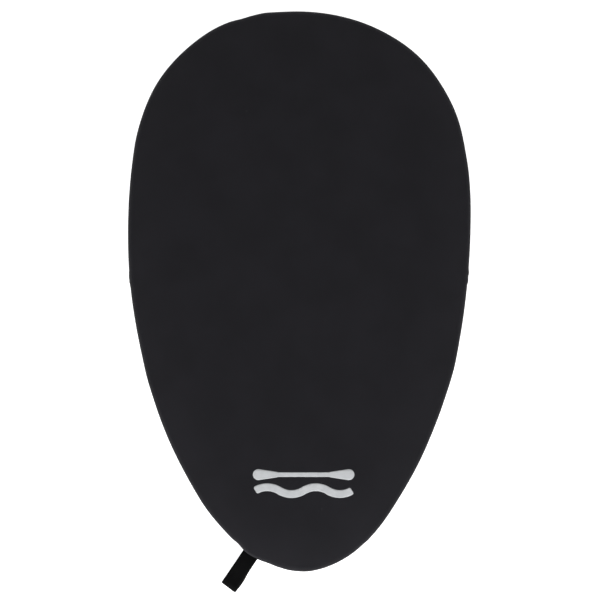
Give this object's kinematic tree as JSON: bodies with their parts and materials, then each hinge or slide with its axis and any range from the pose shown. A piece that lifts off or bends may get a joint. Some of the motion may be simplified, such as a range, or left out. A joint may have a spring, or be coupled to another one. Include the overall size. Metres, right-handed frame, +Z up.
{
  "type": "kayak spray skirt",
  "caption": "Egg-shaped neoprene kayak cockpit cover, with an in-turned side band, a bungee sleeve that grips under the cockpit rim, and a webbing pull strap that folds at the front.",
  "frame": {"origin": "centre of the whole part's footprint, on the surface that the bungee sleeve rests on", "axes": "+Z up out of the deck panel's top face, +Y towards the wide rear end, +X towards the right side seen from above with the rear end away from the viewer"},
  "size_m": [0.532, 0.9052, 0.0483],
  "materials": {
    "neoprene": "matte",
    "neoprene_band": "matte",
    "seam_tape": "matte",
    "sleeve_fabric": "matte",
    "bungee_core": "matte",
    "bungee_sheath": "matte",
    "ferrule": "brushed",
    "thread": "satin",
    "webbing": "satin",
    "print_ink": "matte"
  },
  "bodies": {
    "cover": {"deck_panel": "neoprene", "side_band_rear": "neoprene_band", "side_band_front": "neoprene_band", "deck_seam_tape": "seam_tape", "side_seam_tape_left": "seam_tape", "side_seam_tape_right": "seam_tape", "rand_sleeve_rear": "sleeve_fabric", "rand_sleeve_front": "sleeve_fabric", "bungee_core": "bungee_core", "bungee_sheath": "bungee_sheath", "bungee_ferrule": "ferrule", "deck_seam_thread": "thread", "sleeve_needle_thread": "thread", "sleeve_bobbin_thread": "thread", "strap_tail": "webbing", "tail_bar_tack": "thread", "emblem_print": "print_ink"},
    "pull_strap": {"pull_strap": "webbing", "loop_bar_tack": "thread"}
  },
  "joints": [
    {"name": "pull_strap_fold", "type": "hinge", "parent": "cover", "child": "pull_strap", "pos_m": [-0.07817, -0.39572, 0.0235], "axis": [-0.829, 0.5592, 0], "range_deg": [-78, 110]}
  ]
}
